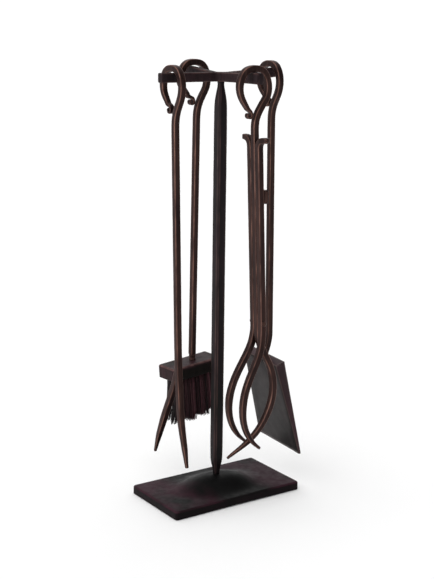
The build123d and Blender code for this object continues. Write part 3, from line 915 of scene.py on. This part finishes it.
def poker_pieces():
    across = (1, 0, 0)
    step = POKER["step"]
    foot = at_height(POKER_AT, step, POKER_FOOT)
    trail = [
        (0, 0, 0), (0, -1.9, -42), (0, -4.6, -80), (0, -10.0, -128),
        (0, -17.6, -159), (0, -22.4, -178), (0, -26.6, -196.5),
    ]
    sizes = [(0.0, FULL), (0.62, FULL), (0.86, (8.2, 8.2)), (1.0, (5.2, 5.2))]
    tine = backwards(trail_run(foot, trail, sizes, down(POKER_AT), (0, -0.24, -0.97)))
    whole = joined([tine, shaft_run(POKER_AT, step, foot)] + loop_runs(POKER_AT, POKER))
    bronze_bar("poker_bar", whole, across, "poker", "poker_rod", start="nose", end="nose", seed=1.0)

    start = at_height(POKER_AT, step, PRONG_START)
    trail = [
        (0, 0, 0), (0, 4.6, -18), (0, 17, -46), (0, 36.4, -83),
        (0, 48.0, -107), (0, 60, -133), (0, 70.5, -160),
    ]
    sizes = [(0.0, (BAR - 0.3, BAR)), (0.62, FULL), (0.82, (8.6, 7.8)), (1.0, (4.4, 4.4))]
    prong = trail_run(start, trail, sizes, (0, 0.1, -1), (0, 0.36, -0.93))
    bronze_bar("poker_tine", prong, across, "poker", "poker_prong", end="nose", seed=2.0)


def brush_turn():
    """The turn and tilt that the brush's block and its ferrule share."""
    return spun(BRUSH_TURN, "Z") @ spun(-BLOCK_TILT, "Y")


def block_matrix():
    return Matrix.Translation(BLOCK_MIDDLE) @ brush_turn()


def block_body():
    placed = block_matrix()
    half = BLOCK_TALL / 2
    profile = [(7.0, -half), (1.0, -half), (0.3, -half + 0.3), (0.0, -half + 1.0)]
    profile += [(0.0, -half + 6), (0.0, half - 6), (0.0, half - BLOCK_EDGE)]
    profile += round_over(half, BLOCK_EDGE)
    profile += [(5.0, half), (10.0, half), (16.0, half)]
    rings, edge, tone = [], [], []
    for inset, z in profile:
        ring = []
        for point in rounded_outline(BLOCK_LONG, BLOCK_DEEP, BLOCK_CORNER, inset, per_side=18):
            spot = vec(point[0], point[1], z)
            sink = 0.35 * rough(spot, 30, 6.0)
            ring.append(spot - vec(*(unit(point) * sink), 0) if 0 <= inset < 3.5 else spot)
            # Edge marks the rounded top edge for wear and a painted highlight; tone lays the brown patches,
            # a painted sheen, on the top and the left end
            edge.append(1.0 if 0.1 < inset < 3.2 else 0.1)
            tone.append(1.0 if z > half - 3.5 or point[0] < -BLOCK_LONG / 2 + 2 else 0.1)
        rings.append(moved(placed, ring))
    piece = stacked("brush_head", rings, BLOCK, edge, tone)
    settle(piece, "brush", "block_paint", "brush_block")


def hair(placed, root, tip, wave, thick):
    """One bristle: a thin four-sided strand from root to tip that bows a little on the way."""
    rings = []
    for i in range(HAIR_LEVELS):
        share = i / (HAIR_LEVELS - 1)
        centre = root + (tip - root) * share + wave * math.sin(math.pi * share) * vec(1, 0.3, 0)
        radius = thick * (1.0 - 0.35 * share)
        angles = [math.pi / 2 * k + 0.6 for k in range(HAIR_SIDES)]
        ring = [centre + radius * vec(math.cos(angle), math.sin(angle), 0) for angle in angles]
        rings.append(moved(placed, ring))
    return rings


def bristle_body():
    """Tufts of separate bristles in rows, spreading until they meet, their ends trimmed unevenly."""
    source = random.Random(HAIR_SEED)
    placed = block_matrix()
    spots, faces, tone = [], [], []
    for row in range(TUFT_ROWS):
        for column in range(TUFT_COLUMNS):
            stagger = TUFT_STAGGER if row % 2 else -TUFT_STAGGER
            middle_x = (column - (TUFT_COLUMNS - 1) / 2) * TUFT_PITCH + stagger
            middle_y = (row - (TUFT_ROWS - 1) / 2) * TUFT_PITCH
            ragged = 3.4 * math.sin(2.1 * column + 1.7 * row) - 0.35 * abs(column - 3.0) ** 1.6
            light = min(1.0, 0.12 + column / 5)
            splayed = max(0.0, 1 - column / 2.5)
            wide_tip = SPLAYED_TIP if splayed else TUFT_TIP
            tuft_tone = 0.6 * light * source.random() ** 2
            tuft_lean = vec(source.uniform(-1.4, 1.4), source.uniform(-1.2, 1.2), 0)
            tuft_lean[0] -= TUFT_SPLAY * splayed
            for _ in range(HAIRS_IN_TUFT):
                angle = source.uniform(0, 2 * math.pi)
                reach = math.sqrt(source.random())
                way = vec(math.cos(angle), math.sin(angle), 0) * reach
                root = vec(middle_x, middle_y, -BLOCK_TALL / 2 + 1.5) + way * TUFT_ROOT
                length = TUFT_LONG + ragged - source.uniform(-1.5, 4.5) * (0.4 + 0.6 * reach)
                below = vec(middle_x * TUFT_FAN, middle_y * TUFT_FAN, -BLOCK_TALL / 2 - length)
                tip = below + way * wide_tip + tuft_lean
                bow = source.uniform(-1.0, 1.0) + SPLAYED_BOW * splayed
                rings = hair(placed, root, tip, bow, source.uniform(0.42, 0.62))
                begin = len(spots)
                faces += [tuple(begin + k for k in face[::-1]) for face in ring_faces(rings)]
                spots += [spot for ring in rings for spot in ring]
                shade = min(1.0, tuft_tone + 0.8 * light * source.random() ** 3)
                tone += [shade] * (HAIR_LEVELS * HAIR_SIDES)
    piece = make_piece("brush_hair", spots, faces, BRISTLE, tone=tone)
    settle(piece, "brush", "bristle", "brush_bristles")


def brush_pieces():
    step = BRUSH["step"]
    top = BLOCK_MIDDLE[2] + BLOCK_TALL / 2 + FERRULE_TALL + 0.6
    foot = at_height(BRUSH_AT, step, top)
    across = turned_x(BRUSH_TURN + 90)
    whole = joined([shaft_run(BRUSH_AT, step, foot)] + loop_runs(BRUSH_AT, BRUSH))
    bronze_bar("brush_bar", whole, across, "brush", "brush_rod", end="nose", seed=3.0)
    seat = Matrix.Translation(Vector(foot)) @ brush_turn()
    radius = FERRULE_DIAMETER / 2
    low = -FERRULE_TALL
    profile = [
        (radius - 0.2, low - 2.0), (radius + 0.1, low + 1.2), (radius - 0.2, low + 2.6),
        (radius - 0.6, -5.0), (radius - 0.5, -2.6), (radius, -1.8),
        (radius, -0.8), (radius - 0.5, -0.1), (radius - 1.6, 0.2),
    ]
    piece = turned("brush_collar", profile, seat, BRONZE)
    settle(piece, "brush", "bronze_finish", "brush_ferrule")
    block_body()
    bristle_body()


def cut_hole(piece, centre, diameter, long, sides=32):
    """Bores a hole along Y through a finished piece."""
    angles = [2 * math.pi * k / sides for k in range(sides)][::-1]
    layers = []
    for y in (-long / 2, long / 2):
        layers.append([centre + vec(x, y, z) for x, z, _ in circle(diameter / 2, 0, angles)])
    drill = stacked("drill", layers, BRONZE)
    bore = piece.modifiers.new("bore", "BOOLEAN")
    bore.operation = "DIFFERENCE"
    bore.solver = "EXACT"
    bore.object = drill
    bpy.context.view_layer.update()
    ready = piece.evaluated_get(bpy.context.evaluated_depsgraph_get())
    mesh = bpy.data.meshes.new_from_object(ready)
    piece.modifiers.clear()
    piece.data = mesh
    mesh.shade_smooth()
    bpy.data.objects.remove(drill)


def tongs_at(height, sideways=0.0):
    return at_height(TONGS_AT, 0, height) + vec(0, sideways, 0)


def tongs_middle():
    foot = tongs_at(TONGS_FOOT)
    trail = [
        (0, 0, 0), (3.6, 0, -16), (11.0, 0, -33), (23.5, 0, -57), (30.2, 0, -83),
        (29.0, 0, -108), (20.4, 0, -132), (3.4, 0, -157), (-24.0, 0, -178), (-55.0, 0, -193.5),
    ]
    sizes = [(0.0, FULL), (0.55, FULL), (0.80, (8.2, 8.0)), (1.0, (4.0, 4.0))]
    claw = backwards(trail_run(foot, trail, sizes, down(TONGS_AT), (-0.88, 0, -0.48)))
    whole = joined([claw, shaft_run(TONGS_AT, 0.0, foot)] + loop_runs(TONGS_AT, TONGS))
    piece = forged_bar("tongs_bar", whole, (0, 1, 0), BRONZE, start="nose", end="nose", seed=4.0)
    cut_hole(piece, tongs_at(PIVOT_HEIGHT), PIVOT_HOLE, 30)
    settle(piece, "tongs", "bronze_finish", "tongs_rod")


def tongs_lever(name, node, way, finger_top, finger_reach, seed):
    out = way * LEVER_PITCH
    high = finger_top - 16
    bend, foot = tongs_at(high, out), tongs_at(LEVER_FOOT, out)
    rise = tongs_at(high + 1) - tongs_at(high)
    rest = [
        (0, 0, 0), (-0.3, 0.6 * way, 7), (-0.5, 4.4 * way, 13.2),
        (-0.6, 10.5 * way, 15.8), (-0.6, finger_reach * way, 16.2),
    ]
    rest_sizes = [(0.0, FULL), (0.6, (BAR, 9.2)), (1.0, (9.0, 8.2))]
    finger = backwards(trail_run(bend, rest, rest_sizes, rise, (0, way, 0), 1.4))
    straight = straight_run(bend, foot)
    trail = [
        (0, 0, 0), (-0.6, 0.6, -14), (-4.0, 2.6, -32), (-13.6, 5.0, -53),
        (-26.5, 6.6, -76), (-36.4, 7.8, -100), (-40.4, 8.6, -124), (-38.0, 8.8, -148),
        (-29.8, 8.8, -168), (-16.4, 9.0, -185), (-8.6, 9.0, -192),
    ]
    trail = [(x, way * y, z) for x, y, z in trail]
    sizes = [(0.0, FULL), (0.6, FULL), (0.84, (8.0, 8.2)), (1.0, (4.6, 5.6))]
    claw = trail_run(foot, trail, sizes, down(TONGS_AT), (0.72, 0, -0.69))
    whole = joined([finger, straight, claw])
    bronze_bar(
        name, whole, (1, 0, 0), "tongs_levers", node,
        start="nose", end="nose", dent=0.14, seed=seed,
    )


def tongs_fittings():
    pivot = tongs_at(PIVOT_HEIGHT)
    seat = Matrix.Translation(Vector(pivot)) @ spun(90, "X")
    half = LEVER_PITCH + BAR / 2 - 0.3
    head = [(4.3, 0.0), (4.3, 0.7), (4.0, 1.5), (3.3, 2.2), (2.2, 2.65), (0.9, 2.85)]
    profile = [(radius, -half - height) for radius, height in head[::-1]]
    profile += [(PIVOT_RADIUS, -half + 0.05), (PIVOT_RADIUS, half - 0.05)]
    profile += [(radius, half + height) for radius, height in head]
    piece = turned("tongs_pin", profile, seat, BRONZE)
    settle(piece, "tongs_levers", "bronze_finish", "tongs_pivot")
    lean = math.radians(TONGS["lean"])
    centre = tongs_at(TIE_HEIGHT) + vec(math.cos(lean), 0, math.sin(lean)) * (BAR / 2 + 4.1)
    half = LEVER_PITCH + BAR / 2
    line = even_line(np.array([centre - vec(0, half, 0), centre + vec(0, half, 0)]), 1.6)
    plate = run(line, [(0.0, TIE_SIZE), (1.0, TIE_SIZE)])
    # The tie plate's edges get less of the wear and painted highlight
    bronze_bar(
        "tongs_plate", plate, (1, 0, -0.04), "tongs_levers", "tongs_tie",
        rounding=2.4, dent=0.1, seed=7.0, rub=0.55,
    )


def shovel_bar():
    step = SHOVEL["step"]
    foot = at_height(SHOVEL_AT, step, SHOVEL_FOOT)
    trail = [(0, 0, 0), (-0.5, 0.4, -12), (-2.8, 1.6, -26), (-6.6, 3.4, -41.5)]
    sizes = [(0.0, FULL), (1.0, (9.0, 8.6))]
    end = backwards(trail_run(foot, trail, sizes, down(SHOVEL_AT), (-0.26, 0.12, -0.96)))
    whole = joined([end, shaft_run(SHOVEL_AT, step, foot)] + loop_runs(SHOVEL_AT, SHOVEL))
    bronze_bar("shovel_bar", whole, (1, 0, 0), "shovel", "shovel_rod", end="nose", seed=8.0)


def pan_matrix():
    return Matrix.Translation(PAN_CORNER) @ spun(PAN_ROLL, "X") @ spun(-PAN_TILT, "Y")


def pan_profile(half, deep, bend):
    """The folded sheet across the pan: down one wall, over the floor and up the other wall."""
    points = []
    for side in (-1, 1):
        wall = []
        for j in range(5):
            wall.append((deep + (bend - deep) * j / 4, side * half))
        for j in range(1, 7):
            angle = math.pi / 2 * j / 6
            wall.append((bend - bend * math.sin(angle), side * (half - bend + bend * math.cos(angle))))
        points.append(wall)
    floor = [(0.0, -half + bend + (2 * half - 2 * bend) * j / 24) for j in range(1, 24)]
    return points[0] + floor + points[1][::-1]


def pan_grid():
    """Rows of points over the pan's outside, from the rear wall's rim to the lip."""
    flare = (PAN_LIP_WIDE - PAN_REAR_WIDE) / 2 / PAN_LONG
    fall = (PAN_REAR_DEEP - PAN_LIP_DEEP) / PAN_LONG
    rows = []
    for drop in [PAN_BEND + (PAN_LONG - PAN_BEND) * (j / 30) for j in range(31)]:
        half = PAN_REAR_WIDE / 2 + flare * drop
        deep = PAN_REAR_DEEP - fall * drop
        bend = min(PAN_BEND, 0.85 * deep)
        rows.append([vec(x, y, -drop) for x, y in pan_profile(half, deep, bend)])
    return rows


def pan_body():
    """A folded sheet-metal pan: floor and side walls in one grid, the rear wall folded up to meet them."""
    rows = pan_grid()
    levels = round_over(0.0, PAN_BEND, 6)
    levels += [(PAN_BEND + (PAN_REAR_DEEP - PAN_BEND) * (j / 5), 0.0) for j in range(1, 6)]
    rear = [[vec(max(spot[0], depth), spot[1], z) for spot in rows[0]] for depth, z in levels]
    rows = rear[::-1] + rows
    spots, edge, tone = [], [], []
    for i, row in enumerate(rows):
        for k, spot in enumerate(row):
            inner = min(k, len(row) - 1 - k)
            warp = 0.5 * rough(spot, 45, 4.0) if min(inner, i) > PAN_STIFF else 0.0
            spots.append(spot + vec(warp, 0, 0))
            # Edge marks the rim and the folds for the painted highlight; tone marks the walls for the
            # painted reflection
            on_rim = inner < 1 or i > len(rows) - 2
            on_fold = inner in PAN_FOLD or i in PAN_FOLD
            edge.append(1.0 if on_rim or on_fold else 0.0)
            tone.append(1.0 if min(inner, i) < PAN_FOLD[0] else 0.0)
    spots = moved(pan_matrix(), spots)
    piece = make_piece("shovel_tray", spots, grid_faces(rows), PAN, edge=edge, tone=tone)
    grid = bmesh.new()
    grid.from_mesh(piece.data)
    bmesh.ops.remove_doubles(grid, verts=grid.verts, dist=0.01 * MM)
    grid.to_mesh(piece.data)
    grid.free()
    thick = piece.modifiers.new("sheet", "SOLIDIFY")
    thick.thickness = PAN_SHEET * MM
    thick.offset = -1
    settle(piece, "shovel", "pan_paint", "shovel_pan")


# ---- studio


def soft_light(name, spot, size, power, unlit):
    """An area light that shines on everything but what the 'unlit' collection excludes."""
    data = bpy.data.lights.new(name, "AREA")
    data.shape = "RECTANGLE"
    data.size, data.size_y = size
    data.energy = power
    lamp = in_scene(name, data)
    lamp.visible_camera = False
    lamp.light_linking.receiver_collection = unlit
    lamp.location = spot
    lamp.rotation_euler = (Vector(LAMP_AIM) - Vector(spot)).to_track_quat("-Z", "Y").to_euler()


def studio():
    floor = bpy.data.meshes.new("studio_floor")
    corners = [(FLOOR_REACH * x, FLOOR_REACH * y, 0) for x, y in map(corner_signs, (2, 3, 0, 1))]
    floor.from_pydata(corners, [], [(0, 1, 2, 3)])
    floor.materials.append(floor_finish())
    ground = in_scene("studio_floor", floor)
    ground.location.z = -FLOOR_DROP
    unlit = bpy.data.collections.new("unlit")
    unlit.objects.link(ground)
    unlit.collection_objects[0].light_linking.link_state = "EXCLUDE"
    studio_walls()
    sky = bpy.data.lights.new("overhead", "SUN")
    sky.energy = OVERHEAD_STRENGTH
    sky.angle = math.radians(OVERHEAD_ANGLE)
    in_scene("overhead", sky).rotation_euler = Vector(OVERHEAD_WAY).to_track_quat("-Z", "Y").to_euler()
    for name, spot, size, power in LAMPS:
        soft_light(name, spot, size, power, unlit)


def studio_walls():
    """A plain white surround. Its light on the object is bright from behind and dim from the near side."""
    world = bpy.data.worlds.new("studio")
    world.use_nodes = True
    tree = world.node_tree
    way = add(tree, "ShaderNodeTexCoord")
    facing = add(tree, "ShaderNodeVectorMath", operation="DOT_PRODUCT")
    facing.inputs[1].default_value = SURROUND_WAY
    tree.links.new(way.outputs["Generated"], facing.inputs[0])
    strength = spread(tree, facing.outputs["Value"], -0.1, 0.75, *SURROUND_LIGHT)
    lit = tree.nodes["Background"]
    tree.links.new(strength, lit.inputs["Strength"])
    white = (1.0, 1.0, 1.0, 1.0)
    lit.inputs["Color"].default_value = white
    seen = add(tree, "ShaderNodeBackground", {"Color": white, "Strength": SURROUND_SEEN})
    ray = add(tree, "ShaderNodeLightPath")
    both = add(tree, "ShaderNodeMixShader")
    tree.links.new(ray.outputs["Is Camera Ray"], both.inputs[0])
    tree.links.new(lit.outputs[0], both.inputs[1])
    tree.links.new(seen.outputs[0], both.inputs[2])
    tree.links.new(both.outputs[0], tree.nodes["World Output"].inputs["Surface"])
    bpy.context.scene.world = world


def camera():
    azimuth, elevation, roll = (math.radians(v) for v in (VIEW_AZIMUTH, VIEW_ELEVATION, VIEW_ROLL))
    level = math.cos(elevation)
    back = Vector((-math.sin(azimuth) * level, -math.cos(azimuth) * level, math.sin(elevation)))
    right = (-back).cross(Vector((0, 0, 1))).normalized()
    up = right.cross(-back)
    place = Vector((0, 0, VIEW_AIM[1])) + right * VIEW_AIM[0] + back * VIEW_DISTANCE
    side = right * math.cos(roll) + up * math.sin(roll)
    top = up * math.cos(roll) - right * math.sin(roll)
    data = bpy.data.cameras.new("view")
    data.sensor_fit = "HORIZONTAL"
    data.sensor_width = SENSOR
    data.lens = VIEW_LENS
    eye = in_scene("view", data)
    turn = Matrix((side, top, back)).transposed()
    eye.matrix_world = Matrix.Translation(place) @ turn.to_4x4()
    bpy.context.scene.camera = eye


def dress_fasteners():
    for name in ("base_bolt", "base_washer"):
        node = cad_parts[name]
        node.data.materials.clear()
        node.data.materials.append(STEEL)


base_body()
post_body()
hanger_body("hanger_front", "hanger_bar_front", 1, POKER_ARM, TONGS_ARM, 12.0)
hanger_body("hanger_back", "hanger_bar_back", -1, SHOVEL_ARM, BRUSH_ARM, 14.0)
poker_pieces()
brush_pieces()
tongs_middle()
tongs_lever("tongs_front", "tongs_lever_front", -1, 588.5, 19.5, 5.0)
tongs_lever("tongs_back", "tongs_lever_back", 1, 591.0, 16.0, 6.0)
tongs_fittings()
shovel_bar()
pan_body()
dress_fasteners()
studio()
camera()
bpy.context.scene.view_settings.view_transform = "Standard"
